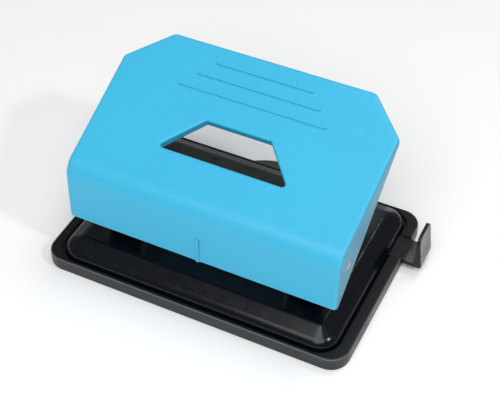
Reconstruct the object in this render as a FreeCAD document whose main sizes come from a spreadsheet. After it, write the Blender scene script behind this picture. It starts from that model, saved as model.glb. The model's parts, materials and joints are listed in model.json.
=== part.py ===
"""Two-hole desk paper punch, as a parametric FreeCAD document.

Frame: +X to the right along the axle, +Y from the paper's side towards the press end, +Z up.
The origin is on the underside of the chip tray, midway between the two punches.
Every driving dimension is a cell of the sheet "dims", in millimetres or degrees.
"""

import FreeCAD, Part
import math
import os
import re

import Sketcher
from FreeCAD import Placement, Rotation, Vector

DIMENSIONS = {
    # chip tray
    "tray_half_width": 65,
    "tray_half_depth": 43.5,
    "tray_corner": 8,
    "tray_rim": 6,
    "tray_floor": 1.5,
    "tray_gap": 0.25,
    "bead_inset": 1.1,
    "bead_drop": 1.3,
    "tongue_radius": 25.1,
    "tongue_centre": 25.9,
    "tongue_thick": 2.2,
    "foot_inset": 6,
    "foot_ring": 1.6,
    "foot_depth": 0.4,
    # pressed steel base
    "deck_half_width": 59.8,
    "deck_half_depth": 40.8,
    "deck_corner": 8.5,
    "deck_bottom": 1.8,
    "deck_top": 12,
    "shoulder_width": 7.6,
    "shoulder_drop": 4.2,
    "shoulder_crease": 3,
    "shoulder_roll": 5,
    "sheet_thick": 1.2,
    # punching stations
    "punch_offset": 40,
    "punch_y": -10.2,
    "paper_stop": 1.8,
    "punch_radius": 2.75,
    "punch_tip": 14.8,
    "head_bottom": 33.4,
    "head_top": 35.6,
    "head_radius": 4.5,
    "groove_radius": 2.1,
    "clip_bottom": 25.1,
    "clip_thick": 0.8,
    "clip_radius": 4.3,
    "spring_bottom": 16.25,
    "spring_top": 25.05,
    "spring_radius": 3.4,
    "spring_wire": 0.35,
    "spring_turns": 4,
    "die_radius": 2.8,
    "die_neck": 4.5,
    "die_flange": 6,
    "die_bottom": 9.2,
    # brackets and the guides between their cheeks
    "throat_top": 14.6,
    "cheek_outer": 9.1,
    "cheek_inner": 7.5,
    "bracket_rear": 17,
    "bracket_shoulder": 20,
    "nose_radius": 5,
    "foot_length": 4.4,
    "foot_thick": 1.4,
    "foot_front": 4,
    "foot_rear": 15,
    "web_thick": 1.6,
    "upper_web": 26,
    "web_front": -16.5,
    "web_rear": 1.7,
    "tab_front": -7,
    "tab_rear": -3,
    "rivet_radius": 1.2,
    "rivet_head": 1.8,
    "rivet_head_thick": 0.7,
    # axle
    "pivot_y": -23.2,
    "pivot_z": 37,
    "axle_radius": 2,
    "axle_half": 57.3,
    "axle_neck": 1.6,
    "axle_clip_at": 49.7,
    "axle_clip_radius": 3.8,
    # lever hood
    "hood_tilt": 20.6,
    "corner_y": -31.7,
    "corner_z": 46.8,
    "skirt_y": -32.8,
    "skirt_z": 21.4,
    "hood_wall": 2,
    "bend_radius": 8.7,
    "edge_radius": 1.5,
    "foot_edge": 0.6,
    "hood_front_half": 57,
    "chamfer_half": 58.5,
    "chamfer_at": 53.4,
    "rear_half": 43,
    "rear_at": 69.3,
    "plan_radius": 3,
    "cavity_half": 54.9,
    "wall_foot_y": -30.8,
    "window_front": 20.4,
    "window_rear": 36.6,
    "window_front_half": 27.2,
    "window_rear_half": 13.6,
    "window_flange": 3.4,
    "flange_wall": 1.5,
    "grip_height": 0.65,
    "grip_width": 1.1,
    "mark_half": 0.7,
    "mark_length": 11.6,
    "mark_height": 0.4,
    "boss_radius": 4.6,
    "boss_inner": 51.3,
    "press_radius": 3,
    "press_half": 3.5,
    "press_y": -10.2,
    "press_z": 38.7,
    # paper gauge and its guide
    "gauge_front": 17.3,
    "gauge_rear": 29.1,
    "gauge_bottom": 3,
    "gauge_top": 5,
    "gauge_inner_end": -37,
    "gauge_stop": 70.8,
    "gauge_outer": 73.6,
    "gauge_tab_top": 18.6,
    "guide_start": -36,
    "guide_end": 58,
    "guide_wall": 0.8,
    "keeper_start": 43.4,
    "detent_x": 49,
    "guide_rivet_x": 25.8,
    "guide_rivet_y": 31.45,
    "guide_rivet_radius": 0.8,
    "guide_rivet_head": 1.2,
}

NAMES = set(DIMENSIONS)

doc = FreeCAD.newDocument("hole_punch")
sheet = doc.addObject("Spreadsheet::Sheet", "dims")
for row, (alias, size) in enumerate(DIMENSIONS.items(), start=1):
    sheet.set(f"A{row}", alias)
    sheet.set(f"B{row}", str(size))
    sheet.setAlias(f"B{row}", alias)
doc.recompute()

subparts = []

# Where the rivets of a bracket's feet are, measured outwards from the punch. The foot of the
# inner cheek turns towards the middle of the punch, and that of the outer one under the webs.
INNER_FOOT = "(-(cheek_outer + foot_length / 2))"
OUTER_FOOT = "(cheek_inner - foot_length / 2)"


# --- expressions and sketches -------------------------------------------------------------


def cells(text):
    """An expression in plain aliases, with each alias pointing at the sheet."""
    return re.sub(r"[a-z_]+", lambda m: f"dims.{m[0]}" if m[0] in NAMES else m[0], str(text))


def number(text):
    """The value that an expression has now."""
    return float(sheet.evalExpression(cells(text)))


def bind(obj, path, text):
    obj.setExpression(path, cells(text))


def new_body(name):
    body = doc.addObject("PartDesign::Body", name)
    body.Label = name
    subparts.append(body)
    return body


def place(obj, across="0", along="0", up="0"):
    """Sets the sub-part's Placement from the sheet."""
    for axis, text in zip("xyz", (across, along, up)):
        bind(obj, f"Placement.Base.{axis}", text)


def new_sketch(body, name, role, offset="0"):
    """A sketch on one of the body's origin planes, moved along the plane's normal."""
    sketch = body.newObject("Sketcher::SketchObject", name)
    plane = [item for item in body.Origin.OriginFeatures if item.Role == role][0]
    sketch.AttachmentSupport = [(plane, "")]
    sketch.MapMode = "FlatFace"
    bind(sketch, "AttachmentOffset.Base.z", offset)
    return sketch


def plate_sketch(body, name, depth="0"):
    """A sketch parallel to the hood's top plate, depth below it. Its v axis climbs to the rear."""
    sketch = new_sketch(body, name, "XY_Plane")
    tilt = Rotation(Vector(1, 0, 0), number("hood_tilt"))
    sketch.AttachmentOffset = Placement(Vector(0, 0, 0), tilt)
    bind(sketch, "AttachmentOffset.Rotation.Angle", "hood_tilt * 1 deg")
    bind(sketch, "AttachmentOffset.Base.y", f"corner_y + ({depth}) * sin(hood_tilt * 1 deg)")
    bind(sketch, "AttachmentOffset.Base.z", f"corner_z - ({depth}) * cos(hood_tilt * 1 deg)")
    return sketch


def limit(sketch, kind, geometry, point, text):
    """Ties one coordinate of a point, or a radius, to an expression."""
    value = number(text)
    if kind == "Radius":
        index = sketch.addConstraint(Sketcher.Constraint(kind, geometry, value))
    else:
        index = sketch.addConstraint(Sketcher.Constraint(kind, -1, 1, geometry, point, value))
    label = f"{kind}_{geometry}_{point}"
    sketch.renameConstraint(index, label)
    bind(sketch, f"Constraints.{label}", text)


def outline(sketch, corners):
    """A closed outline of straight sides, with every corner tied to the sheet."""
    first = sketch.GeometryCount
    points = [Vector(number(u), number(v), 0) for u, v in corners]
    count = len(points)
    for i in range(count):
        sketch.addGeometry(Part.LineSegment(points[i], points[(i + 1) % count]), False)
    for i in range(count):
        following = first + (i + 1) % count
        sketch.addConstraint(Sketcher.Constraint("Coincident", first + i, 2, following, 1))
    for i, (u, v) in enumerate(corners):
        limit(sketch, "DistanceX", first + i, 1, u)
        limit(sketch, "DistanceY", first + i, 1, v)


def rectangle(sketch, left, right, low, high):
    outline(sketch, [(left, low), (right, low), (right, high), (left, high)])


def disc(sketch, u, v, radius):
    index = sketch.addGeometry(
        Part.Circle(Vector(number(u), number(v), 0), Vector(0, 0, 1), number(radius)), False
    )
    limit(sketch, "DistanceX", index, 3, u)
    limit(sketch, "DistanceY", index, 3, v)
    limit(sketch, "Radius", index, 0, radius)


# --- features ------------------------------------------------------------------------------


def pad(body, sketch, length, symmetric=False, reverse=False):
    feature = body.newObject("PartDesign::Pad", sketch.Name + "_pad")
    return finish_extrusion(feature, sketch, length, symmetric, reverse)


def pocket(body, sketch, length, symmetric=False, reverse=False):
    feature = body.newObject("PartDesign::Pocket", sketch.Name + "_cut")
    before = body.Shape.Volume
    finish_extrusion(feature, sketch, length, symmetric, reverse)
    if feature.Shape.Volume >= before - 1e-6:
        raise RuntimeError(f"{feature.Name} removes nothing")
    return feature


def finish_extrusion(feature, sketch, length, symmetric, reverse):
    feature.Profile = sketch
    feature.SideType = "Symmetric" if symmetric else "One side"
    feature.Reversed = reverse
    bind(feature, "Length", length)
    sketch.Visibility = False
    doc.recompute()
    return feature


def turn(body, sketch, axis):
    """A full revolution about the sketch's own H_Axis or V_Axis."""
    feature = body.newObject("PartDesign::Revolution", sketch.Name + "_turned")
    feature.Profile = sketch
    feature.ReferenceAxis = (sketch, [axis])
    feature.Angle = 360
    doc.recompute()
    return feature


def edges_where(shape, test):
    return [f"Edge{i}" for i, edge in enumerate(shape.Edges, start=1) if test(edge)]


def fillet(body, radius, test):
    """Rounds the edges of the body so far for which test(edge) holds."""
    base = body.Tip
    names = edges_where(base.Shape, test)
    if not names:
        raise RuntimeError(f"no edge to round on {body.Label}")
    feature = body.newObject("PartDesign::Fillet", "round")
    feature.Base = (base, names)
    bind(feature, "Radius", radius)
    doc.recompute()
    return feature


def runs_along(edge, direction):
    """Whether a straight edge is parallel to a direction."""
    if edge.Curve.TypeId != "Part::GeomLine":
        return False
    return edge.tangentAt(edge.FirstParameter).cross(direction).Length < 1e-4


X_AXIS, Y_AXIS, Z_AXIS = Vector(1, 0, 0), Vector(0, 1, 0), Vector(0, 0, 1)


def upright(edge):
    return runs_along(edge, Z_AXIS)


# --- base ------------------------------------------------------------------------------------


def make_base_plate():
    """Pressed steel dome: a flat deck with rolled shoulders, open underneath."""
    body = new_body("base_plate")
    plan = new_sketch(body, "deck_plan", "XY_Plane", "deck_bottom")
    rectangle(
        plan, "-deck_half_width", "deck_half_width", "-deck_half_depth", "deck_half_depth"
    )
    pad(body, plan, "deck_top - deck_bottom")
    fillet(body, "deck_corner", upright)
    top = number("deck_top")
    slope_shoulder(body, top)
    solid, bottom = body.Tip, number("deck_bottom")
    below = [
        f"Face{i}"
        for i, face in enumerate(solid.Shape.Faces, start=1)
        if abs(face.CenterOfMass.z - bottom) < 0.01
    ]
    shell = body.newObject("PartDesign::Thickness", "deck_shell")
    shell.Base = (solid, below)
    shell.Reversed = True
    bind(shell, "Value", "sheet_thick")
    doc.recompute()

    holes = new_sketch(body, "deck_holes", "XY_Plane", "deck_top")
    for side in ("-", ""):
        disc(holes, f"{side}punch_offset", "punch_y", "die_neck + 0.02")
        for across in (INNER_FOOT, OUTER_FOOT):
            centre = f"{side}(punch_offset + {across})"
            disc(holes, centre, "(foot_front + foot_rear) / 2", "rivet_radius")
        disc(holes, f"{side}guide_rivet_x", "guide_rivet_y", "guide_rivet_radius")
    pocket(body, holes, "sheet_thick + 1")

    slot = new_sketch(body, "gauge_slot", "YZ_Plane", "deck_half_width - 5")
    rectangle(slot, "gauge_front - 0.5", "gauge_rear + 0.5", "deck_bottom - 1", "gauge_top + 0.4")
    pocket(body, slot, "6", reverse=True)


def slope_shoulder(body, top):
    """Slopes the deck's rim down, then rounds the crease above the slope and the roll below it."""
    slope = body.newObject("PartDesign::Chamfer", "deck_slope")
    above = edges_where(slope.BaseFeature.Shape, lambda e: e.CenterOfMass.z > top - 0.01)
    slope.Base = (slope.BaseFeature, above)
    slope.ChamferType = "Two distances"
    slope.FlipDirection = True
    bind(slope, "Size", "shoulder_width")
    bind(slope, "Size2", "shoulder_drop")
    doc.recompute()
    fillet(body, "shoulder_crease", lambda e: e.CenterOfMass.z > top - 0.01)
    roll = number("deck_top - shoulder_drop")
    fillet(body, "shoulder_roll", lambda e: abs(e.CenterOfMass.z - roll) < 0.01)


def make_chip_tray():
    """Moulded tray that closes the base from below; its rim is the punch's outer lip."""
    body = new_body("chip_tray")
    plan = new_sketch(body, "tray_plan", "XY_Plane")
    rectangle(
        plan, "-tray_half_width", "tray_half_width", "-tray_half_depth", "tray_half_depth"
    )
    pad(body, plan, "tray_rim")
    fillet(body, "tray_corner", upright)
    rim = number("tray_rim")
    fillet(body, "0.9", lambda e: e.CenterOfMass.z > rim - 0.01)
    fillet(body, "0.5", lambda e: e.CenterOfMass.z < 0.01)

    tongue = new_sketch(body, "tongue_plan", "XY_Plane", "0.3")
    disc(tongue, "0", "tongue_centre", "tongue_radius")
    pad(body, tongue, "tongue_thick")

    corner = "deck_corner + tray_gap"
    cut_recess(body, "bead_step", "bead_inset", corner, "tray_rim - bead_drop")
    cut_recess(body, "chip_room", "0", corner, "tray_floor")

    notch = new_sketch(body, "gauge_notch", "YZ_Plane", "deck_half_width - 1")
    rectangle(notch, "gauge_front - 0.5", "gauge_rear + 0.5", "gauge_bottom - 0.4", "tray_rim + 1")
    pocket(body, notch, "8", reverse=True)

    ring = new_sketch(body, "foot_groove", "XY_Plane")
    for inset in ("foot_inset", "(foot_inset + foot_ring)"):
        half_x, half_y = f"tray_half_width - {inset}", f"tray_half_depth - {inset}"
        rounded_rectangle(ring, half_x, half_y, f"tray_corner + 3 - {inset}")
    pocket(body, ring, "foot_depth", reverse=True)


def cut_recess(body, name, margin, corner, floor):
    """Sinks a round-cornered recess, margin wider than the base's own wall, down to floor."""
    sketch = new_sketch(body, name, "XY_Plane", floor)
    half_x = f"deck_half_width + tray_gap + {margin}"
    half_y = f"deck_half_depth + tray_gap + {margin}"
    rounded_rectangle(sketch, half_x, half_y, f"{corner} + {margin}")
    pocket(body, sketch, "tray_rim", reverse=True)


def rounded_rectangle(sketch, half_x, half_y, radius):
    """A rectangle centred on the origin whose corners are quarter circles."""
    x, y, r = number(half_x), number(half_y), number(radius)
    middles = [(x - r, y - r, 0), (r - x, y - r, 1), (r - x, r - y, 2), (x - r, r - y, 3)]
    first = sketch.GeometryCount
    for u, v, quarter in middles:
        start = quarter * math.pi / 2
        circle = Part.Circle(Vector(u, v, 0), Vector(0, 0, 1), r)
        sketch.addGeometry(Part.ArcOfCircle(circle, start, start + math.pi / 2), False)
    for quarter in range(4):
        arc, following = first + quarter, first + (quarter + 1) % 4
        line = sketch.addGeometry(
            Part.LineSegment(
                sketch.Geometry[arc].EndPoint, sketch.Geometry[following].StartPoint
            ),
            False,
        )
        sketch.addConstraint(Sketcher.Constraint("Tangent", arc, 2, line, 1))
        sketch.addConstraint(Sketcher.Constraint("Tangent", line, 2, following, 1))
        if quarter:
            sketch.addConstraint(Sketcher.Constraint("Equal", first, arc))
    limit(sketch, "Radius", first, 0, radius)
    limit(sketch, "DistanceX", first, 1, half_x)
    limit(sketch, "DistanceY", first, 2, half_y)
    limit(sketch, "DistanceX", first + 1, 2, f"-({half_x})")
    limit(sketch, "DistanceY", first + 2, 2, f"-({half_y})")


# --- punching stations -----------------------------------------------------------------------


def make_bracket(name, side):
    """Folded steel bracket: two cheeks on a rear wall, reaching forward over the paper throat."""
    body = new_body(name)
    cheek = new_sketch(body, name + "_cheek", "YZ_Plane")
    outline(
        cheek,
        [
            ("paper_stop", "deck_top"),
            ("bracket_rear", "deck_top"),
            ("bracket_rear", "bracket_shoulder"),
            ("1", "36"),
            ("pivot_y + 3", "pivot_z + nose_radius"),
            ("pivot_y - nose_radius", "pivot_z + nose_radius"),
            ("pivot_y - nose_radius", "pivot_z - 4"),
            ("web_front - 0.8", "throat_top"),
            ("paper_stop", "throat_top"),
        ],
    )
    pad(body, cheek, "2 * cheek_outer", symmetric=True)
    nose_y, nose_z = number("pivot_y"), number("pivot_z")
    fillet(
        body,
        "nose_radius - 0.3",
        lambda e: runs_along(e, X_AXIS)
        and e.CenterOfMass.y < nose_y - 1
        and e.CenterOfMass.z > nose_z,
    )
    fillet(
        body,
        "3",
        lambda e: runs_along(e, X_AXIS)
        and (
            abs(e.CenterOfMass.z - 36) < 0.1
            or abs(e.CenterOfMass.z - number("bracket_shoulder")) < 0.1
            or abs(e.CenterOfMass.y - number("web_front - 0.8")) < 0.1
        ),
    )

    hollow = new_sketch(body, name + "_hollow", "YZ_Plane")
    rectangle(hollow, "-40", "bracket_rear - web_thick", "deck_top - 1", "60")
    pocket(body, hollow, "2 * cheek_inner", symmetric=True)

    outward = side or "1 * "
    feet = new_sketch(body, name + "_feet", "XY_Plane", "deck_top")
    for root, tip in (
        ("0.5 - cheek_outer", "-(cheek_outer + foot_length)"),
        ("cheek_inner + 0.5", "cheek_inner - foot_length"),
    ):
        rectangle(feet, f"{outward}({root})", f"{outward}({tip})", "foot_front", "foot_rear")
    pad(body, feet, "foot_thick")
    tips = [number("cheek_outer + foot_length"), number("cheek_inner - foot_length")]
    fillet(
        body,
        "1.6",
        lambda e: upright(e) and any(abs(abs(e.CenterOfMass.x) - tip) < 0.01 for tip in tips),
    )

    rivet_holes = new_sketch(body, name + "_rivet_holes", "XY_Plane", "deck_top + foot_thick")
    for across in (INNER_FOOT, OUTER_FOOT):
        centre = f"{outward}({across})"
        disc(rivet_holes, centre, "(foot_front + foot_rear) / 2", "rivet_radius")
    pocket(body, rivet_holes, "foot_thick + 1")

    side_holes = new_sketch(body, name + "_side_holes", "YZ_Plane")
    disc(side_holes, "pivot_y", "pivot_z", "axle_radius + 0.05")
    for web in ("throat_top", "upper_web"):
        rectangle(side_holes, "tab_front", "tab_rear", web, f"{web} + web_thick")
    pocket(body, side_holes, "3 * cheek_outer", symmetric=True)
    place(body, across=f"{side}punch_offset")


def make_punch_guide(name, side):
    """Channel between the cheeks: two webs guide the punch, with a wall joining them behind."""
    body = new_body(name)
    channel = new_sketch(body, name + "_channel", "YZ_Plane")
    inner = "web_rear - web_thick"
    outline(
        channel,
        [
            ("web_front", "throat_top"),
            ("web_rear", "throat_top"),
            ("web_rear", "upper_web + web_thick"),
            ("web_front", "upper_web + web_thick"),
            ("web_front", "upper_web"),
            (inner, "upper_web"),
            (inner, "throat_top + web_thick"),
            ("web_front", "throat_top + web_thick"),
        ],
    )
    pad(body, channel, "2 * cheek_inner - 0.1", symmetric=True)
    front = number("web_front")
    fillet(body, "2.5", lambda e: upright(e) and abs(e.CenterOfMass.y - front) < 0.01)

    for level, web in (("lower", "throat_top"), ("upper", "upper_web")):
        tabs = new_sketch(body, f"{name}_{level}_tabs", "XY_Plane", f"{web} + 0.02")
        for hand in ("-", ""):
            near, far = f"{hand}(cheek_inner - 1)", f"{hand}(cheek_outer)"
            rectangle(tabs, near, far, "tab_front + 0.02", "tab_rear - 0.02")
        pad(body, tabs, "web_thick - 0.04")

    bore = new_sketch(body, name + "_bore", "XY_Plane", "upper_web + web_thick")
    disc(bore, "0", "punch_y", "punch_radius + 0.05")
    pocket(body, bore, "20")
    place(body, across=f"{side}punch_offset")


def turned_part(name, corners, across, along):
    """A round part about a vertical axis, from half of its section."""
    body = new_body(name)
    section = new_sketch(body, name + "_section", "XZ_Plane")
    outline(section, corners)
    turn(body, section, "V_Axis")
    place(body, across=across, along=along)
    return body


def make_punch_pin(name, side):
    """Hardened punch: round shank, flat-topped head, clip groove and a V-ground cutting tip."""
    groove_low, groove_high = "clip_bottom - 0.05", "clip_bottom + clip_thick + 0.05"
    body = turned_part(
        name,
        [
            ("0", "punch_tip"),
            ("punch_radius", "punch_tip"),
            ("punch_radius", groove_low),
            ("groove_radius", groove_low),
            ("groove_radius", groove_high),
            ("punch_radius", groove_high),
            ("punch_radius", "head_bottom"),
            ("head_radius", "head_bottom"),
            ("head_radius", "head_top - 0.6"),
            ("head_radius - 1.2", "head_top"),
            ("0", "head_top"),
        ],
        f"{side}punch_offset",
        "punch_y",
    )
    tip = new_sketch(body, name + "_tip", "XZ_Plane")
    outline(
        tip,
        [
            ("-punch_radius", "punch_tip - 0.5"),
            ("punch_radius", "punch_tip - 0.5"),
            ("0", "punch_tip + 1.3"),
        ],
    )
    pocket(body, tip, "4 * punch_radius", symmetric=True)


def make_spring_clip(name, side):
    """E-clip in the punch's groove; the return spring pushes up against it."""
    body = new_body(name)
    clip = new_sketch(body, name + "_plan", "XY_Plane", "clip_bottom")
    disc(clip, "0", "0", "clip_radius")
    disc(clip, "0", "0", "groove_radius + 0.05")
    pad(body, clip, "clip_thick")
    mouth = new_sketch(body, name + "_mouth", "XY_Plane", "clip_bottom")
    rectangle(mouth, "-1.7", "1.7", "-clip_radius - 1", "0")
    pocket(body, mouth, "clip_thick", reverse=True)
    place(body, across=f"{side}punch_offset", along="punch_y")


def make_return_spring(name, side):
    """Coil spring round the shank, from the lower web up to the clip."""
    body = new_body(name)
    wire = new_sketch(body, name + "_wire", "XZ_Plane")
    disc(wire, "spring_radius", "spring_bottom + spring_wire", "spring_wire")
    coil = body.newObject("PartDesign::AdditiveHelix", name + "_coil")
    coil.Profile = wire
    coil.ReferenceAxis = (wire, ["V_Axis"])
    coil.Mode = "height-turns-angle"
    bind(coil, "Height", "spring_top - spring_bottom - 2 * spring_wire")
    bind(coil, "Turns", "spring_turns")
    doc.recompute()
    place(body, across=f"{side}punch_offset", along="punch_y")


def make_die(name, side):
    """Hardened die bush set flush in the deck, with a flange beneath it."""
    turned_part(
        name,
        [
            ("die_radius", "deck_top"),
            ("die_neck", "deck_top"),
            ("die_neck", "deck_top - sheet_thick"),
            ("die_flange", "deck_top - sheet_thick"),
            ("die_flange", "die_bottom"),
            ("die_radius + 0.6", "die_bottom"),
            ("die_radius", "die_bottom + 1.2"),
        ],
        f"{side}punch_offset",
        "punch_y",
    )


def make_rivets(name, places, seat, grip, radius, rim):
    """A group of rivets: seat is the height under the heads, grip the thickness they clamp,
    radius the shanks' and rim the widest of the heads and tails.
    """
    pieces = []
    for index, (across, along) in enumerate(places):
        shank = doc.addObject("Part::Cylinder", f"{name}_shank_{index}")
        bind(shank, "Radius", radius)
        bind(shank, "Height", grip)
        place(shank, across, along, f"{seat} - ({grip})")
        head = doc.addObject("Part::Cone", f"{name}_head_{index}")
        tail = doc.addObject("Part::Cone", f"{name}_tail_{index}")
        narrow = f"0.6 * {rim}"
        for cone, low, high in ((head, rim, narrow), (tail, narrow, rim)):
            bind(cone, "Radius1", low)
            bind(cone, "Radius2", high)
            bind(cone, "Height", "rivet_head_thick")
        place(head, across, along, seat)
        place(tail, across, along, f"{seat} - ({grip}) - rivet_head_thick")
        pieces += [shank, head, tail]
    group = doc.addObject("Part::MultiFuse", name)
    group.Label = name
    group.Shapes = pieces
    subparts.append(group)


# --- lever -----------------------------------------------------------------------------------


def hood_point(along, below):
    """Y and Z expressions of a point on the hood's side view, measured from its top corner."""
    tilt = "hood_tilt * 1 deg"
    return (
        f"corner_y + ({along}) * cos({tilt}) + ({below}) * sin({tilt})",
        f"corner_z + ({along}) * sin({tilt}) - ({below}) * cos({tilt})",
    )


def make_lever_hood():
    """Moulded lever: tilted top plate, front skirt, tapering side walls and a trapezium window."""
    body = new_body("lever_hood")
    side = new_sketch(body, "hood_side", "YZ_Plane")
    plate_end = hood_point("rear_at + 3", "0")
    outline(
        side,
        [
            ("skirt_y", "skirt_z"),
            ("wall_foot_y", "skirt_z"),
            hood_point("chamfer_at", "hood_wall"),
            hood_point("rear_at + 3", "hood_wall"),
            plate_end,
            ("corner_y", "corner_z"),
        ],
    )
    pad(body, side, "2 * chamfer_half + 4", symmetric=True)
    trim_hood_plan(body)
    round_hood_outside(body)

    cavity = new_sketch(body, "hood_cavity", "YZ_Plane")
    outline(
        cavity,
        [
            ("skirt_y + hood_wall", "skirt_z - 5"),
            hood_point("rear_at + 10", "70"),
            hood_point("rear_at + 10", "hood_wall"),
            hood_point("hood_wall * 0.66", "hood_wall"),
        ],
    )
    pocket(body, cavity, "2 * cavity_half", symmetric=True)

    add_axle_bosses(body)
    add_press_ribs(body)
    add_stiffeners(body)
    cut_window(body)
    add_grip_lines(body)
    add_centre_mark(body)


def trim_hood_plan(body):
    """Cuts the wedge to its plan: sides that flare a little, and the two rear chamfers."""
    plan = plate_sketch(body, "hood_plan")
    rectangle(plan, "-90", "90", "-60", "110")
    outline(
        plan,
        [
            ("-(hood_front_half)", "-12"),
            ("hood_front_half", "-12"),
            ("chamfer_half", "chamfer_at"),
            ("rear_half", "rear_at"),
            ("-rear_half", "rear_at"),
            ("-chamfer_half", "chamfer_at"),
        ],
    )
    pocket(body, plan, "260", symmetric=True)


def round_hood_outside(body):
    tilt = math.radians(number("hood_tilt"))
    normal = Vector(0, -math.sin(tilt), math.cos(tilt))
    fillet(body, "plan_radius", lambda e: runs_along(e, normal) and e.Length < 6)
    corner_y, corner_z = number("corner_y"), number("corner_z")

    def is_bend(edge):
        middle = edge.CenterOfMass
        near = abs(middle.y - corner_y) < 0.1 and abs(middle.z - corner_z) < 0.1
        return runs_along(edge, X_AXIS) and near

    fillet(body, "bend_radius", is_bend)

    foot = number("skirt_z")

    def is_outer_side(edge):
        """The rim of the plate, and the bend's and the skirt's long edges at either end."""
        middle = edge.CenterOfMass
        above = (middle - Vector(0, corner_y, corner_z)).dot(normal)
        across = runs_along(edge, X_AXIS)
        on_plate = abs(above) < 0.01 and not (across and middle.y < 0)
        on_front = middle.y < corner_y + 5 and middle.z > foot + 1 and not across
        return on_plate or on_front

    fillet(body, "edge_radius", is_outer_side)
    round_hood_foot(body)


def round_hood_foot(body):
    """Takes the sharpness off the skirt's lower outer edge."""
    front, foot = number("skirt_y"), number("skirt_z")

    def is_lower_edge(edge):
        middle = edge.CenterOfMass
        return abs(middle.y - front) < 0.3 and abs(middle.z - foot) < 0.01 and abs(middle.x) < 1

    fillet(body, "foot_edge", is_lower_edge)


def add_axle_bosses(body):
    """A boss inside each side wall, bored for the axle."""
    bosses = new_sketch(body, "hood_bosses", "YZ_Plane")
    disc(bosses, "pivot_y", "pivot_z", "boss_radius")
    pad(body, bosses, "2 * cavity_half + 1", symmetric=True)
    between = new_sketch(body, "hood_between_bosses", "YZ_Plane")
    disc(between, "pivot_y", "pivot_z", "boss_radius + 0.2")
    pocket(body, between, "2 * boss_inner", symmetric=True)
    bore = new_sketch(body, "hood_axle_bore", "YZ_Plane")
    disc(bore, "pivot_y", "pivot_z", "axle_radius")
    pocket(body, bore, "3 * chamfer_half", symmetric=True)


def add_press_ribs(body):
    """A rib over each punch, with a round nose that presses on its head."""
    for name, side in (("left", "-"), ("right", "")):
        centre = f"{side}punch_offset"
        rib = new_sketch(body, f"press_rib_{name}", "YZ_Plane", centre)
        outline(
            rib,
            [
                ("press_y - press_radius", "press_z"),
                ("press_y + press_radius", "press_z"),
                hood_point("29", "hood_wall - 0.5"),
                hood_point("17", "hood_wall - 0.5"),
            ],
        )
        pad(body, rib, "2 * press_half", symmetric=True)
        nose = new_sketch(body, f"press_nose_{name}", "YZ_Plane", centre)
        disc(nose, "press_y", "press_z", "press_radius")
        pad(body, nose, "2 * press_half", symmetric=True)


def add_stiffeners(body):
    """Shallow ribs under the plate, from the window to the rear edge."""
    ribs = plate_sketch(body, "stiffeners", "hood_wall - 0.5")
    for centre in ("-32", "-16", "0", "16", "32"):
        rectangle(ribs, f"{centre} - 0.7", f"{centre} + 0.7", "window_rear + 3", "rear_at - 2.5")
    pad(body, ribs, "3", reverse=True)


def trapezium(sketch, margin):
    front, rear = f"window_front_half + {margin} * 1.5", f"window_rear_half + {margin} * 1.5"
    near, far = f"window_front - {margin}", f"window_rear + {margin}"
    outline(sketch, [(f"-({front})", near), (front, near), (rear, far), (f"-({rear})", far)])


def cut_window(body):
    """The window, with a flange turned down all round it and a rolled upper edge."""
    flange = plate_sketch(body, "window_flange")
    trapezium(flange, "flange_wall")
    pad(body, flange, "window_flange", reverse=True)
    opening = plate_sketch(body, "window_opening", "-1")
    trapezium(opening, "0")
    pocket(body, opening, "window_flange + 2")

    tilt = math.radians(number("hood_tilt"))
    normal = Vector(0, -math.sin(tilt), math.cos(tilt))
    top_corner = Vector(0, number("corner_y"), number("corner_z"))
    reach = number("window_front_half") + 1
    depth = number("window_flange")

    def is_corner(edge):
        inside = abs(edge.CenterOfMass.x) < reach and abs(edge.Length - depth) < 0.01
        on_opening = edge.Length > depth - 0.01 and runs_along(edge, normal)
        near, far = number("window_front"), number("window_rear")
        along = (edge.CenterOfMass - top_corner).dot(normal.cross(X_AXIS) * -1)
        return inside and on_opening and near - 0.1 < abs(along) < far + 0.1

    fillet(body, "1.1", is_corner)

    def is_upper_edge(edge):
        middle = edge.CenterOfMass - top_corner
        return abs(middle.dot(normal)) < 0.01 and abs(middle.x) < reach and edge.Length < 54

    fillet(body, "0.9", lambda e: is_upper_edge(e) and e.CenterOfMass.y < 10)


def add_grip_lines(body):
    """Three fine raised lines across the press end, shorter towards the rear."""
    lines = plate_sketch(body, "grip_lines", "0.3")
    for along, half in (("48.4", "31.3"), ("55", "25.9"), ("61.5", "20.7")):
        low, high = f"{along} - grip_width / 2", f"{along} + grip_width / 2"
        rectangle(lines, f"-{half}", half, low, high)
    pad(body, lines, "grip_height + 0.3")
    tilt = math.radians(number("hood_tilt"))
    normal = Vector(0, -math.sin(tilt), math.cos(tilt))
    corner = Vector(0, number("corner_y"), number("corner_z"))
    crest = number("grip_height")
    fillet(body, "0.2", lambda e: abs((e.CenterOfMass - corner).dot(normal) - crest) < 0.01)


def add_centre_mark(body):
    """A short upright rib in the middle of the skirt, down to its lower edge."""
    mark = new_sketch(body, "centre_mark", "XZ_Plane", "-(skirt_y + 1)")
    rectangle(mark, "-mark_half", "mark_half", "skirt_z", "skirt_z + mark_length")
    pad(body, mark, "mark_height + 1")
    face = number("skirt_y - mark_height")
    fillet(body, "0.25", lambda e: abs(e.CenterOfMass.y - face) < 0.01)


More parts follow.
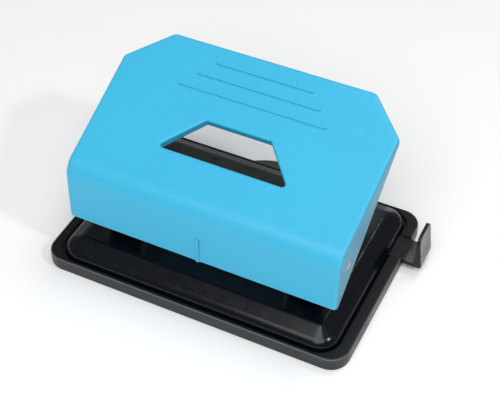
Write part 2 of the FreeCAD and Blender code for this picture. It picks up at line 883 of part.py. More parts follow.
def make_hinge_axle():
    """Steel rod through the hood's walls and both brackets, with a neck for each clip."""
    body = new_body("hinge_axle")
    section = new_sketch(body, "axle_section", "XY_Plane")
    near, far = "axle_clip_at - 0.05", "axle_clip_at + clip_thick + 0.05"
    right = [
        (near, "axle_radius"),
        (near, "axle_neck"),
        (far, "axle_neck"),
        (far, "axle_radius"),
        ("axle_half - 0.3", "axle_radius"),
        ("axle_half", "axle_radius - 0.3"),
        ("axle_half", "0"),
    ]
    left = [(f"-({x})", y) for x, y in reversed(right)]
    outline(section, left + right)
    turn(body, section, "H_Axis")
    place(body, along="pivot_y", up="pivot_z")


def make_axle_clip(name, side):
    """E-clip that holds the hood centred between the brackets."""
    body = new_body(name)
    clip = new_sketch(body, name + "_plan", "YZ_Plane", "-clip_thick / 2")
    disc(clip, "0", "0", "axle_clip_radius")
    disc(clip, "0", "0", "axle_neck + 0.05")
    pad(body, clip, "clip_thick")
    mouth = new_sketch(body, name + "_mouth", "YZ_Plane")
    rectangle(mouth, "0", "axle_clip_radius + 1", "-1.3", "1.3")
    pocket(body, mouth, "2 * clip_thick", symmetric=True)
    place(body, f"{side}(axle_clip_at + clip_thick / 2)", "pivot_y", "pivot_z")


# --- paper gauge -----------------------------------------------------------------------------


def make_paper_gauge():
    """Sliding stop: a flat bar with an upturned tab, and notches for the common paper widths."""
    body = new_body("paper_gauge")
    side = new_sketch(body, "gauge_side", "XZ_Plane", "-gauge_rear")
    outline(
        side,
        [
            ("gauge_inner_end", "gauge_bottom"),
            ("gauge_outer", "gauge_bottom"),
            ("gauge_outer - 1.8", "gauge_tab_top"),
            ("gauge_stop - 0.3", "gauge_tab_top"),
            ("gauge_stop", "gauge_top"),
            ("gauge_inner_end + 2", "gauge_top"),
            ("gauge_inner_end + 2", "gauge_top + 2"),
            ("gauge_inner_end", "gauge_top + 2"),
        ],
    )
    pad(body, side, "gauge_rear - gauge_front")
    tab_top, tab_foot, stop = number("gauge_tab_top"), number("gauge_top"), number("gauge_stop")
    outer = number("gauge_outer")
    rear, front = number("gauge_rear"), number("gauge_front")

    def at_tab_top(edge, y):
        middle = edge.CenterOfMass
        return abs(middle.z - tab_top) < 0.01 and abs(middle.y - y) < 0.01

    fillet(body, "2.2", lambda e: at_tab_top(e, rear) and e.Length < 3)
    fillet(body, "3", lambda e: at_tab_top(e, front) and e.Length < 3)

    def is_bend(edge):
        middle = edge.CenterOfMass
        inside = abs(middle.x - stop) < 0.05 and abs(middle.z - tab_foot) < 0.05
        outside = abs(middle.x - outer) < 0.05 and middle.z < tab_foot
        return runs_along(edge, Y_AXIS) and (inside or outside)

    fillet(body, "1.2", is_bend)

    notches = new_sketch(body, "gauge_notches", "XY_Plane", "gauge_bottom - 0.5")
    for setting in ("74", "105", "148.5"):
        disc(notches, f"detent_x - ({setting} - gauge_stop)", "gauge_front - 0.3", "0.9")
    pocket(body, notches, "gauge_top", reverse=True)


def make_gauge_guide():
    """Channel under the deck that carries the gauge, with a keeper over it at the outer end."""
    body = new_body("gauge_guide")
    channel = new_sketch(body, "guide_section", "YZ_Plane", "guide_start")
    front, rear = "gauge_front - 0.3", "gauge_rear + 0.3"
    floor, flange = "gauge_bottom - 0.3", "deck_top - sheet_thick - 0.05"
    crease = "deck_half_depth - shoulder_width"
    outline(
        channel,
        [
            (f"{front} - guide_wall", "deck_bottom + 0.05"),
            (f"{rear} + guide_wall", "deck_bottom + 0.05"),
            (f"{rear} + guide_wall", f"{flange} - guide_wall"),
            (f"{crease} - 0.2", f"{flange} - guide_wall"),
            (f"{crease} - 0.2", f"{flange} - 0.4"),
            (f"{crease} - 0.8", flange),
            (rear, flange),
            (rear, floor),
            (front, floor),
            (front, "gauge_top + 1.1"),
            (f"{front} - guide_wall", "gauge_top + 1.1"),
        ],
    )
    pad(body, channel, "guide_end - guide_start")
    keeper = new_sketch(body, "guide_keeper", "XY_Plane", "gauge_top + 0.3")
    rectangle(keeper, "keeper_start", "guide_end", f"{front} - 0.5", f"{rear} + 0.5")
    pad(body, keeper, "0.8")
    holes = new_sketch(body, "guide_holes", "XY_Plane", flange)
    for side in ("-", ""):
        disc(holes, f"{side}guide_rivet_x", "guide_rivet_y", "guide_rivet_radius")
    pocket(body, holes, "guide_wall + 1")
    relief = new_sketch(body, "guide_relief", "XZ_Plane", f"-({front} - guide_wall - 1)")
    outline(
        relief,
        [
            ("deck_half_width - shoulder_width - 0.9", "deck_top - 1.05"),
            ("guide_end + 0.5", "gauge_top + 1.4"),
            ("guide_end + 0.5", "deck_top - 1.05"),
        ],
    )
    pocket(body, relief, "deck_half_depth")
    slot = new_sketch(body, "detent_slot", "XZ_Plane", f"-({front} + 0.5)")
    rectangle(slot, "detent_x - 2.2", "detent_x + 2.2", "gauge_bottom - 0.1", "gauge_top + 0.2")
    pocket(body, slot, "guide_wall + 1", reverse=True)


def make_detent_spring():
    """Leaf spring along the guide; its nib drops into the gauge's notches."""
    body = new_body("gauge_detent_spring")
    strip = new_sketch(body, "detent_plan", "XY_Plane", "gauge_bottom + 0.1")
    back = "gauge_front - 0.3 - guide_wall"
    outline(
        strip,
        [
            ("detent_x - 8", back),
            ("detent_x - 8", f"{back} - 0.5"),
            ("detent_x - 1.6", f"{back} - 0.5"),
            ("detent_x", f"{back} + 0.4"),
            ("detent_x + 1.6", f"{back} - 0.5"),
            ("detent_x + 8", f"{back} - 0.5"),
            ("detent_x + 8", back),
            ("detent_x + 1.5", back),
            ("detent_x", f"{back} + 0.95"),
            ("detent_x - 1.5", back),
        ],
    )
    pad(body, strip, "1.8")


# --- assembly --------------------------------------------------------------------------------


def build():
    make_base_plate()
    make_chip_tray()
    for hand, side in (("left", "-"), ("right", "")):
        make_bracket(f"{hand}_punch_bracket", side)
        make_punch_guide(f"{hand}_punch_guide", side)
        make_punch_pin(f"{hand}_punch_pin", side)
        make_spring_clip(f"{hand}_spring_clip", side)
        make_return_spring(f"{hand}_return_spring", side)
        make_die(f"{hand}_die", side)
        make_axle_clip(f"{hand}_axle_clip", side)
    foot_middle = "(foot_front + foot_rear) / 2"
    foot_places = [
        (f"{side}(punch_offset + {across})", foot_middle)
        for side in ("-", "")
        for across in (INNER_FOOT, OUTER_FOOT)
    ]
    make_rivets(
        "bracket_rivets",
        foot_places,
        "deck_top + foot_thick",
        "sheet_thick + foot_thick",
        "rivet_radius",
        "rivet_head",
    )
    make_rivets(
        "guide_rivets",
        [(f"{side}guide_rivet_x", "guide_rivet_y") for side in ("-", "")],
        "deck_top",
        "sheet_thick + guide_wall + 0.05",
        "guide_rivet_radius",
        "guide_rivet_head",
    )
    make_lever_hood()
    make_hinge_axle()
    make_paper_gauge()
    make_gauge_guide()
    make_detent_spring()


def check():
    """Stops on any failed object or any sub-part without a valid solid."""
    for item in doc.Objects:
        if "Invalid" in item.State or "Error" in item.State:
            raise RuntimeError(f"{item.Name} failed: {item.State}")
    for item in subparts:
        if item.Shape.isNull() or not item.Shape.isValid() or not item.Shape.Solids:
            raise RuntimeError(f"{item.Label} has no valid solid")


def export():
    os.makedirs("parts", exist_ok=True)
    for item in subparts:
        item.Shape.exportStep(f"parts/{item.Label}.step")
        box = item.Shape.BoundBox
        print(
            f"{item.Label:22s} {len(item.Shape.Solids)} solid(s) {item.Shape.Volume:9.1f} mm3 "
            f"x {box.XMin:.1f}..{box.XMax:.1f} y {box.YMin:.1f}..{box.YMax:.1f} "
            f"z {box.ZMin:.1f}..{box.ZMax:.1f}"
        )


build()
doc.recompute()
check()
export()
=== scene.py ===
"""Looks of a two-hole desk punch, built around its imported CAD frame. Units are metres."""

import json
import math

import bmesh
import bpy
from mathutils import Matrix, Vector


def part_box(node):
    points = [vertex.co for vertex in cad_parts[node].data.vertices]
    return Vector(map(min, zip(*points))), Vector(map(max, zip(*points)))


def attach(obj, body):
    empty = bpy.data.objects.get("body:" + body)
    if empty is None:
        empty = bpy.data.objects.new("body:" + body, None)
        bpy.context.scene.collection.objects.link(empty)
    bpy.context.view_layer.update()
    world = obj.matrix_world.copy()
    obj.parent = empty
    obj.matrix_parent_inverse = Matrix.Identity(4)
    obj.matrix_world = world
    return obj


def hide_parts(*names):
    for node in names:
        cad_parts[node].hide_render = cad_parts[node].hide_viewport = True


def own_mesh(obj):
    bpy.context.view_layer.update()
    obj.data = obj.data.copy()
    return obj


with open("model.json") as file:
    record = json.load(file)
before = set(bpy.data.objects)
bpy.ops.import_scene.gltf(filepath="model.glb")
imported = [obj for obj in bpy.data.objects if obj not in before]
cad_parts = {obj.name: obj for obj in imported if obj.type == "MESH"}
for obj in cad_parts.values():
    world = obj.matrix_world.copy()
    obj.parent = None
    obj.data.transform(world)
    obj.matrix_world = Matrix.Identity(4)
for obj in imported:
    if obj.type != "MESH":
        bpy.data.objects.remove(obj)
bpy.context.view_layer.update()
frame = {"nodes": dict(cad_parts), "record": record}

MM = 0.001
ACROSS, ALONG, UP = (1, 0, 0), (0, 1, 0), (0, 0, 1)
SHARP_ANGLE = math.radians(35)

# Lines on the body that its finishes follow.
CREASE_X = 52.0 * MM
DECK_EDGE_X = (49 * MM, 54 * MM)
RIM_OUTSIDE_X = 65.6 * MM
REAR_DUST_Y = 4 * MM
TONGUE_Y = 43 * MM
SKIRT_FOOT_Z = 23 * MM


def linear(red, green, blue):
    """An 8-bit display colour as the linear colour that shader sockets take."""

    def channel(level):
        share = level / 255
        return share / 12.92 if share <= 0.04045 else ((share + 0.055) / 1.055) ** 2.4

    return (channel(red), channel(green), channel(blue), 1.0)


# --- materials -------------------------------------------------------------------------------


class Finish:
    """A material with a Principled shader, and short calls for the textures that drive it."""

    def __init__(self, name, color, roughness, metallic=0.0):
        self.material = bpy.data.materials.new(name)
        self.material.use_nodes = True
        self.tree = self.material.node_tree
        self.shader = self.tree.nodes["Principled BSDF"]
        self.shader.inputs["Base Color"].default_value = color
        self.shader.inputs["Roughness"].default_value = roughness
        self.shader.inputs["Metallic"].default_value = metallic
        self.place = self.tree.nodes.new("ShaderNodeTexCoord").outputs["Object"]
        self.bump_out = None

    def set(self, **sockets):
        for name, value in sockets.items():
            self.shader.inputs[name.replace("_", " ")].default_value = value

    def add(self, kind, links=(), **settings):
        """A node with its settings, and its inputs linked or filled in by name or number."""
        node = self.tree.nodes.new(kind)
        for key, value in settings.items():
            setattr(node, key, value)
        for key, value in dict(links).items():
            if isinstance(value, bpy.types.NodeSocket):
                self.tree.links.new(value, node.inputs[key])
            else:
                node.inputs[key].default_value = value
        return node

    def noise(self, scale, detail=2.0, roughness=0.5, stretch=None):
        where = self.place
        if stretch:
            mapping = self.add("ShaderNodeMapping", {"Vector": where, "Scale": stretch})
            where = mapping.outputs["Vector"]
        links = {"Vector": where, "Scale": scale, "Detail": detail, "Roughness": roughness}
        return self.add("ShaderNodeTexNoise", links).outputs["Fac"]

    def cells(self, scale):
        """Distance to the nearest point of a scattered pattern."""
        links = {"Vector": self.place, "Scale": scale}
        return self.add("ShaderNodeTexVoronoi", links).outputs["Distance"]

    def ramp(self, value, low, high, start=0.0, end=1.0):
        """Maps value from low..high to start..end, smoothly and clamped."""
        links = {"Value": value, "From Min": low, "From Max": high, "To Min": start, "To Max": end}
        node = self.add("ShaderNodeMapRange", links, interpolation_type="SMOOTHSTEP")
        return node.outputs["Result"]

    def math(self, operation, first, second):
        return self.add("ShaderNodeMath", {0: first, 1: second}, operation=operation).outputs[0]

    def axis(self, letter):
        return self.add("ShaderNodeSeparateXYZ", {0: self.place}).outputs[letter]

    def facing(self, letter, low=0.25, high=0.95):
        """From 0 to 1 as a face turns towards the plus end of an axis."""
        geometry = self.tree.nodes.new("ShaderNodeNewGeometry")
        normal = self.add("ShaderNodeSeparateXYZ", {0: geometry.outputs["True Normal"]})
        return self.ramp(normal.outputs[letter], low, high)

    def facing_up(self):
        return self.facing("Z")

    def facing_aside(self):
        """1 on the two outer side walls, 0 on the rest."""
        return self.math("ADD", self.facing("X", 0.6, 0.98), self.facing("X", -0.6, -0.98))

    def tint(self, factor, color):
        """Mixes color over whatever the base colour is so far."""
        socket = self.shader.inputs["Base Color"]
        mix = self.add("ShaderNodeMix", {0: factor}, data_type="RGBA")
        if socket.is_linked:
            self.tree.links.new(socket.links[0].from_socket, mix.inputs[6])
        else:
            mix.inputs[6].default_value = socket.default_value
        mix.inputs[7].default_value = color
        self.tree.links.new(mix.outputs[2], socket)

    def rough(self, value):
        self.tree.links.new(value, self.shader.inputs["Roughness"])

    def bump(self, height, depth, strength=1.0):
        """Adds a relief of the given depth on top of those already there."""
        links = {"Height": height, "Distance": depth, "Strength": strength}
        if self.bump_out:
            links["Normal"] = self.bump_out
        self.bump_out = self.add("ShaderNodeBump", links).outputs["Normal"]
        self.tree.links.new(self.bump_out, self.shader.inputs["Normal"])


def hood_plastic():
    """Cyan satin moulding with a fine spark-eroded grain and a little grime, with painted shade
    and reflection on its side walls and a painted highlight along its skirt's foot.
    """
    finish = Finish("hood_plastic", linear(54, 177, 217), 0.42)
    finish.set(Specular_IOR_Level=0.5)
    patches = finish.noise(22, detail=3)
    finish.tint(finish.ramp(patches, 0.35, 0.75, 0, 0.35), linear(58, 187, 226))
    # Painted shade and reflection: the outer side walls are greyed, as they get less light and
    # reflect the surroundings.
    finish.tint(finish.math("MULTIPLY", finish.facing_aside(), 0.6), linear(80, 120, 136))
    grime = finish.noise(160, detail=5, roughness=0.7)
    finish.tint(finish.ramp(grime, 0.62, 0.8, 0, 0.25), linear(70, 150, 180))
    # Painted highlight: a light line on the downward faces along the skirt's foot, in place of the
    # floor's reflection there.
    foot = finish.ramp(finish.axis("Z"), SKIRT_FOOT_Z + MM, SKIRT_FOOT_Z)
    painted_sheen = finish.math("MULTIPLY", foot, finish.facing("Z", -0.08, -0.3))
    finish.tint(finish.math("MULTIPLY", painted_sheen, 0.7), linear(150, 214, 238))
    grain = finish.noise(1900, detail=3, roughness=0.6)
    finish.tint(finish.ramp(grain, 0.5, 0.62, 0, 0.22), linear(88, 202, 238))
    finish.rough(finish.ramp(grain, 0.3, 0.7, 0.36, 0.5))
    finish.bump(grain, 0.09 * MM, 0.6)
    finish.bump(finish.noise(420, detail=2), 0.05 * MM, 0.35)
    return finish.material


def specks(finish, dust, scale):
    """Separate specks of dust, on a few of a fine pattern's cells."""
    dots = finish.ramp(finish.cells(scale), 0.12, 0.06)
    chosen = finish.ramp(finish.noise(scale * 0.37), 0.56, 0.64, 0, 0.5)
    finish.tint(finish.math("MULTIPLY", dots, chosen), dust)


def black_enamel():
    """Glossy black stoving enamel over pressed steel, dusty behind, with a patchy painted
    highlight along its crease.
    """
    finish = Finish("black_enamel", linear(4, 9, 16), 0.2)
    finish.set(Coat_Weight=0.12, Coat_Roughness=0.1, Specular_IOR_Level=0.25)
    sideways = finish.math("ABSOLUTE", finish.axis("X"), 0)
    deck = finish.ramp(sideways, DECK_EDGE_X[1], DECK_EDGE_X[0])
    settled = finish.ramp(finish.axis("Y"), REAR_DUST_Y, REAR_DUST_Y + 22 * MM, 0, 0.14)
    rear = finish.math("MULTIPLY", settled, deck)
    veil = finish.ramp(finish.noise(95, detail=6, roughness=0.7), 0.3, 0.7, 0.5, 1)
    dust = finish.math("MULTIPLY", finish.math("MULTIPLY", veil, rear), finish.facing_up())
    finish.tint(dust, linear(118, 124, 124))
    specks(finish, linear(120, 118, 112), 900)
    # Painted highlight: a thin, patchy, lighter line along the deck's side creases, where they
    # catch the light.
    across = finish.math("SUBTRACT", sideways, CREASE_X)
    crease = finish.ramp(finish.math("ABSOLUTE", across, 0), 0.32 * MM, 0.08 * MM)
    beside = finish.ramp(finish.math("ABSOLUTE", finish.axis("Y"), 0), 32 * MM, 27 * MM)
    highlight_patches = finish.ramp(finish.noise(400, detail=4, roughness=0.7), 0.44, 0.56, 0.05, 0.85)
    crease_highlight = finish.math("MULTIPLY", crease, beside)
    finish.tint(finish.math("MULTIPLY", crease_highlight, highlight_patches), linear(104, 100, 92))
    chips = finish.ramp(finish.cells(120), 0.09, 0.06)
    where = finish.ramp(finish.noise(41), 0.64, 0.68)
    finish.tint(finish.math("MULTIPLY", chips, where), linear(84, 56, 40))
    gloss = finish.ramp(finish.noise(210, detail=6, roughness=0.7), 0.35, 0.75, 0.17, 0.27)
    dulled = finish.ramp(finish.axis("Y"), REAR_DUST_Y, REAR_DUST_Y + 26 * MM, 0.1, 0.6)
    finish.rough(finish.math("MAXIMUM", gloss, finish.math("MULTIPLY", dulled, deck)))
    finish.bump(finish.noise(330, detail=2), 0.03 * MM, 0.35)
    return finish.material


def tray_plastic():
    """Semi-matt black moulding, scuffed on its walls, with painted reflection greying its outer
    walls and painted highlights on its rounded edges.
    """
    # Painted reflection: the grey base colour stands for the pale table reflected in the outer
    # walls; faces turned up are tinted near black below.
    finish = Finish("tray_plastic", linear(42, 46, 50), 0.38)
    finish.set(Specular_IOR_Level=0.3)
    finish.tint(finish.math("MULTIPLY", finish.facing_up(), 0.95), linear(6, 9, 13))
    behind = finish.ramp(finish.axis("Y"), TONGUE_Y, TONGUE_Y + 3 * MM, 0, 0.7)
    finish.tint(finish.math("MULTIPLY", behind, finish.facing_up()), linear(78, 80, 76))
    specks(finish, linear(120, 118, 112), 700)
    scuffs = finish.noise(60, detail=6, roughness=0.75, stretch=(1, 1, 5))
    walls = finish.math("SUBTRACT", 1.0, finish.facing_up())
    marks = finish.ramp(scuffs, 0.5, 0.72, 0, 0.28)
    finish.tint(finish.math("MULTIPLY", marks, walls), linear(88, 92, 94))
    # Painted highlight: the rounded edges between the rim's top and its walls are lightened.
    level = finish.facing("Z", 0.72, 0.9)
    edges = finish.math("SUBTRACT", finish.facing("Z", 0.2, 0.45), level)
    finish.tint(finish.math("MULTIPLY", edges, 0.6), linear(112, 116, 118))
    finish.rough(finish.ramp(scuffs, 0.35, 0.7, 0.3, 0.5))
    finish.bump(finish.noise(1500, detail=3), 0.03 * MM, 0.4)
    finish.bump(scuffs, 0.05 * MM, 0.3)
    return finish.material


def gauge_plastic():
    """Black moulding, with brownish dust on its bar's outer end and painted glare on its tab's
    outer face.
    """
    finish = Finish("gauge_plastic", linear(14, 18, 24), 0.34)
    finish.set(Specular_IOR_Level=0.35)
    grit = finish.noise(700, detail=4, roughness=0.7, stretch=(1, 0.35, 1))
    outside = finish.ramp(finish.axis("X"), RIM_OUTSIDE_X, RIM_OUTSIDE_X + 2 * MM)
    low_down = finish.ramp(finish.axis("Z"), 8.5 * MM, 7.5 * MM)
    lying = finish.math("MULTIPLY", finish.math("MULTIPLY", outside, low_down), finish.facing_up())
    dust = finish.math("MULTIPLY", finish.ramp(grit, 0.3, 0.65, 0.35, 0.95), lying)
    finish.tint(dust, linear(104, 100, 90))
    # Painted glare: the tab's outer face is lightened in patches.
    painted_sheen = finish.ramp(finish.noise(150, detail=5, roughness=0.7), 0.3, 0.6, 0.55, 1)
    face = finish.math("MULTIPLY", finish.facing("X", 0.8, 0.98), painted_sheen)
    finish.tint(finish.math("MULTIPLY", face, outside), linear(112, 114, 114))
    finish.rough(finish.ramp(finish.noise(180, detail=5), 0.3, 0.75, 0.3, 0.5))
    finish.bump(finish.noise(1400, detail=3), 0.03 * MM, 0.4)
    return finish.material


def metal(name, color, roughness, grain, stretch, cloud=0.3, cloud_color=(110, 108, 104)):
    """Bare or plated metal: directional grain, cloudy plating, slightly uneven gloss."""
    finish = Finish(name, color, roughness, metallic=1.0)
    clouds = finish.noise(140, detail=4, roughness=0.6)
    finish.tint(finish.ramp(clouds, 0.4, 0.75, 0, cloud), linear(*cloud_color))
    lines = finish.noise(grain, detail=3, stretch=stretch)
    finish.rough(finish.ramp(lines, 0.3, 0.7, roughness * 0.8, roughness * 1.35))
    finish.bump(lines, 0.02 * MM, 0.5)
    return finish.material


MATERIALS = {
    "hood_plastic": hood_plastic(),
    "black_enamel": black_enamel(),
    "tray_plastic": tray_plastic(),
    "gauge_plastic": gauge_plastic(),
    "plated_steel": metal("plated_steel", linear(196, 194, 188), 0.34, 900, (1, 1, 0.15)),
    "tool_steel": metal("tool_steel", linear(150, 150, 152), 0.24, 1500, (0.1, 0.1, 1)),
    "axle_steel": metal(
        "axle_steel", linear(190, 186, 172), 0.45, 1100, (0.05, 1, 1), 0.4, (150, 140, 118)
    ),
    "spring_steel": metal("spring_steel", linear(142, 142, 146), 0.3, 1300, (1, 1, 1)),
}


def dress(piece, slot):
    piece.data.materials.clear()
    piece.data.materials.append(MATERIALS[slot])


for part in frame["record"]["subparts"]:
    dress(frame["nodes"][part["node"]], part["material_slot"])


# --- mesh helpers ----------------------------------------------------------------------------


def piece_from(name, points, faces, body, slot, replaced):
    """A smooth-shaded mesh piece that rides on a body and stands for CAD nodes."""
    mesh = bpy.data.meshes.new(name)
    mesh.from_pydata(points, [], faces)
    work = bmesh.new()
    work.from_mesh(mesh)
    bmesh.ops.remove_doubles(work, verts=work.verts, dist=1e-7)
    bmesh.ops.recalc_face_normals(work, faces=work.faces)
    work.to_mesh(mesh)
    work.free()
    piece = bpy.data.objects.new(name, mesh)
    bpy.context.scene.collection.objects.link(piece)
    mesh.shade_smooth()
    mesh.set_sharp_from_angle(angle=SHARP_ANGLE)
    dress(piece, slot)
    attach(piece, body)
    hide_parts(replaced)
    return piece


def lathe(profile, centre, axis=UP):
    """Points and faces of a profile of (radius, height) turned about an axis."""
    steps = 40
    points, faces = [], []
    lean = Vector(UP).rotation_difference(Vector(axis))
    for radius, height in profile:
        for step in range(steps):
            turn = 2 * math.pi * step / steps
            offset = Vector((radius * math.cos(turn), radius * math.sin(turn), height))
            points.append(Vector(centre) + lean @ offset)
    for ring in range(len(profile) - 1):
        for step in range(steps):
            a = ring * steps + step
            b = ring * steps + (step + 1) % steps
            faces.append((a, b, b + steps, a + steps))
    return points, faces


def tube(path, radius):
    """Points and faces of a round wire along a path, closed by domed ends."""
    sides = 14
    points, faces = [], []
    last = len(path) - 1
    # A ring is its point on the path, its share of the radius and its push along the wire.
    start = [(0, 0.02, -0.9), (0, 0.7, -0.6)]
    end = [(last, 0.7, 0.6), (last, 0.02, 0.9)]
    rings = start + [(i, 1.0, 0.0) for i in range(len(path))] + end
    for index, share, push in rings:
        ahead = path[min(index + 1, last)] - path[max(index - 1, 0)]
        along = ahead.normalized()
        side = along.cross(Vector((0, 0, 1))).normalized()
        upper = side.cross(along)
        for step in range(sides):
            turn = 2 * math.pi * step / sides
            offset = side * math.cos(turn) + upper * math.sin(turn)
            points.append(path[index] + offset * radius * share + along * push * radius)
    for ring in range(len(rings) - 1):
        for step in range(sides):
            a = ring * sides + step
            b = ring * sides + (step + 1) % sides
            faces.append((a, b, b + sides, a + sides))
    faces.append(tuple(range(sides)))
    faces.append(tuple(range((len(rings) - 1) * sides, len(rings) * sides)))
    return points, faces


def merge(groups):
    """Joins several (points, faces) into one."""
    points, faces = [], []
    for group_points, group_faces in groups:
        faces += [tuple(i + len(points) for i in face) for face in group_faces]
        points += group_points
    return points, faces


def middle(node):
    low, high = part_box(node)
    return (low + high) / 2


def islands(node):
    """The lowest and highest corners of each separate clump of a CAD node, by place in plan."""
    apart = 4 * MM
    clumps = []
    for vertex in frame["nodes"][node].data.vertices:
        spot = vertex.co
        for clump in clumps:
            if (clump[0].xy - spot.xy).length < apart:
                clump.append(spot)
                break
        else:
            clumps.append([spot])
    corners = []
    for clump in clumps:
        low = Vector(min(point[i] for point in clump) for i in range(3))
        high = Vector(max(point[i] for point in clump) for i in range(3))
        corners.append((low, high))
    return corners


# --- pieces that replace plain CAD solids ----------------------------------------------------


def domed_rivets(node, slot):
    """Rivets with domed heads and upset tails, one at each of the node's solids."""
    head_height, tail_height = 0.62 * MM, 0.6 * MM
    head_edge, flange = 0.06 * MM, 0.7 * MM
    dome_steps = 7
    groups = []
    for low, high in islands(node):
        centre = (low + high) / 2
        radius = (high.x - low.x) / 2
        seat, under = high.z - flange, low.z + flange
        dome = [
            (
                radius * math.sin(math.pi / 2 * k / dome_steps),
                seat + head_height * math.cos(math.pi / 2 * k / dome_steps) + head_edge,
            )
            for k in range(dome_steps + 1)
        ]
        shank = radius * 0.66
        tail = [
            (radius, seat),
            (shank, seat),
            (shank, under),
            (radius * 0.92, under),
            (radius * 0.8, under - tail_height * 0.75),
            (radius * 0.45, under - tail_height),
            (0, under - tail_height * 0.85),
        ]
        groups.append(lathe(dome + tail, (centre.x, centre.y, 0)))
    points, faces = merge(groups)
    piece_from(node + "_domed", points, faces, "base", slot, node)


def turned_axle():
    """The axle with its clip grooves, and ends crowned so that they stand just proud."""
    node = "hinge_axle"
    low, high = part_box(node)
    radius, half = (high.z - low.z) / 2, high.x
    clip = middle("right_axle_clip").x
    neck, groove = 1.6 * MM, 0.45 * MM
    rounding, crown = 0.35 * MM, 0.3 * MM
    right = [
        (radius, clip - groove),
        (neck, clip - groove),
        (neck, clip + groove),
        (radius, clip + groove),
        (radius, half - rounding),
        (radius * 0.95, half - rounding * 0.3),
        (radius * 0.85, half),
        (radius * 0.5, half + crown * 0.75),
        (0, half + crown),
    ]
    left = [(away, -along) for away, along in reversed(right)]
    points, faces = lathe(left + right, middle(node), ACROSS)
    piece_from(node + "_turned", points, faces, "lever", "axle_steel", node)


def coil_spring(hand):
    """A compression spring with closed end turns, between the lower web and the clip."""
    node = f"{hand}_return_spring"
    axis = middle(f"{hand}_punch_pin")
    web_top, clip_under = 16.22 * MM, 25.08 * MM
    wire, coil = 0.35 * MM, 3.4 * MM
    turns, steps = 5.0, 48
    low, high = web_top + wire, clip_under - wire
    path = []
    for index in range(int(turns * steps) + 1):
        turn = index / steps
        closed = 2 * wire * 1.04
        free_pitch = (high - low - 2 * closed) / (turns - 2)
        if turn < 1:
            height = low + closed * turn
        elif turn > turns - 1:
            height = high - closed * (turns - turn)
        else:
            height = low + closed + free_pitch * (turn - 1)
        angle = 2 * math.pi * turn
        offset = Vector((coil * math.cos(angle), coil * math.sin(angle), 0))
        path.append(Vector((axis.x, axis.y, height)) + offset)
    points, faces = tube(path, wire)
    piece = piece_from(node + "_coil", points, faces, "base", "spring_steel", node)
    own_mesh(piece)


def e_clip(node, body, held, across, opening, shaft, rim):
    """A stamped E-clip: three teeth on the shaft, an open mouth and softened edges.

    held is the node it clips onto, across the shaft's direction, opening the mouth's, and
    shaft and rim are the radii.
    """
    low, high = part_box(node)
    thick = min(high - low)
    mouth, steps = math.radians(38), 120
    teeth, tooth_width = [math.radians(a) for a in (62, 180, 298)], 0.24
    across, opening = Vector(across), Vector(opening)
    aside = across.cross(opening)
    centre = middle(held) + across * (middle(node) - middle(held)).dot(across)
    inner_gap = (rim - shaft) * 0.42
    points, faces = [], []
    for index in range(steps + 1):
        angle = mouth + (2 * math.pi - 2 * mouth) * index / steps
        nearness = max(math.exp(-(((angle - tooth) / tooth_width) ** 4)) for tooth in teeth)
        inside = shaft + inner_gap * (1 - nearness)
        outside = rim - 0.12 * (rim - shaft) * (1 - nearness)
        direction = opening * math.cos(angle) + aside * math.sin(angle)
        for radius in (inside, outside):
            for level in (-thick / 2, thick / 2):
                points.append(centre + direction * radius + across * level)
    for index in range(steps):
        a, b = 4 * index, 4 * index + 4
        faces += [
            (a, a + 2, b + 2, b),
            (a + 1, b + 1, b + 3, a + 3),
            (a, b, b + 1, a + 1),
            (a + 2, a + 3, b + 3, b + 2),
        ]
    end = 4 * steps
    faces += [(0, 1, 3, 2), (end, end + 2, end + 3, end + 1)]
    piece = piece_from(node + "_stamped", points, faces, body, "spring_steel", node)
    soften(piece, 0.07 * MM)


def soften(piece, width):
    """Bevels a piece's sharp edges, with the bevel applied to its mesh."""
    work = bmesh.new()
    work.from_mesh(piece.data)
    sharp = [e for e in work.edges if e.is_manifold and e.calc_face_angle() > 0.6]
    bmesh.ops.bevel(work, geom=sharp, offset=width, segments=2, profile=0.6, affect="EDGES")
    work.to_mesh(piece.data)
    work.free()
    piece.data.shade_smooth()
    piece.data.set_sharp_from_angle(angle=SHARP_ANGLE)


domed_rivets("bracket_rivets", "plated_steel")
domed_rivets("guide_rivets", "black_enamel")
turned_axle()
for hand in ("left", "right"):
    pin, axle = f"{hand}_punch_pin", "hinge_axle"
    coil_spring(hand)
    e_clip(f"{hand}_axle_clip", "lever", axle, ACROSS, ALONG, 1.65 * MM, 3.8 * MM)
    e_clip(f"{hand}_spring_clip", f"{hand}_punch", pin, UP, (0, -1, 0), 2.15 * MM, 4.3 * MM)


# --- stage -----------------------------------------------------------------------------------


def aimed(obj, place, target):
    """Puts a light or camera at place, looking at target with its up side up."""
    obj.location = place
    obj.rotation_euler = (Vector(target) - Vector(place)).to_track_quat("-Z", "Y").to_euler()
    bpy.context.scene.collection.objects.link(obj)
    return obj


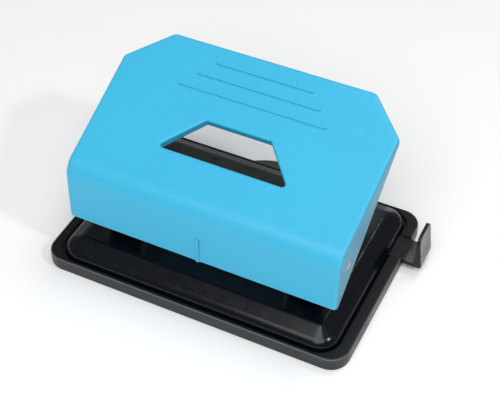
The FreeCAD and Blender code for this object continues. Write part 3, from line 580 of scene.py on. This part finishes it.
def around(target, azimuth, elevation, distance):
    """A point seen from target at an azimuth (0 is the front, 90 the right) and elevation."""
    az, el = math.radians(azimuth), math.radians(elevation)
    direction = Vector((math.sin(az) * math.cos(el), -math.cos(az) * math.cos(el), math.sin(el)))
    return Vector(target) + direction * distance


def softbox(name, azimuth, elevation, distance, size, watts):
    light = bpy.data.lights.new(name, "AREA")
    light.shape = "DISK"
    light.size = size
    light.energy = watts
    return aimed(bpy.data.objects.new(name, light), around(AIM, azimuth, elevation, distance), AIM)


AIM = Vector((3.1, 6.3, 20)) * MM
CAMERA_AZIMUTH, CAMERA_ELEVATION, CAMERA_DISTANCE = 26.0, 44.4, 0.480
SENSOR, LENS = 36.0, 86.04


def make_camera():
    lens = bpy.data.cameras.new("camera")
    lens.sensor_width = SENSOR
    lens.lens = LENS
    lens.clip_start = 0.01
    camera = bpy.data.objects.new("camera", lens)
    place = around(AIM, CAMERA_AZIMUTH, CAMERA_ELEVATION, CAMERA_DISTANCE)
    bpy.context.scene.camera = aimed(camera, place, AIM)


def make_floor():
    """A plain pale table top that the tray rests on."""
    half, drop = 3.0, 0.03 * MM
    mesh = bpy.data.meshes.new("floor")
    corners = [(x * half, y * half, -drop) for x, y in ((-1, -1), (1, -1), (1, 1), (-1, 1))]
    mesh.from_pydata(corners, [], [(0, 1, 2, 3)])
    floor = bpy.data.objects.new("floor", mesh)
    bpy.context.scene.collection.objects.link(floor)
    finish = Finish("floor_paper", (0.93, 0.93, 0.93, 1), 0.7)
    finish.set(Specular_IOR_Level=0.2)
    finish.bump(finish.noise(900), 0.02 * MM, 0.2)
    mesh.materials.append(finish.material)


def make_lights():
    world = bpy.data.worlds.new("studio")
    world.use_nodes = True
    background = world.node_tree.nodes["Background"]
    background.inputs["Color"].default_value = (1, 1, 1, 1)
    background.inputs["Strength"].default_value = 0.25
    bpy.context.scene.world = world
    softbox("key", 14, 53, 1.3, 1.15, 12.6)
    softbox("back", 160, 65, 1.3, 0.6, 4.2)
    softbox("spark", 79, 45, 0.9, 0.08, 1.5)


make_floor()
make_lights()
make_camera()
bpy.context.scene.view_settings.view_transform = "Standard"
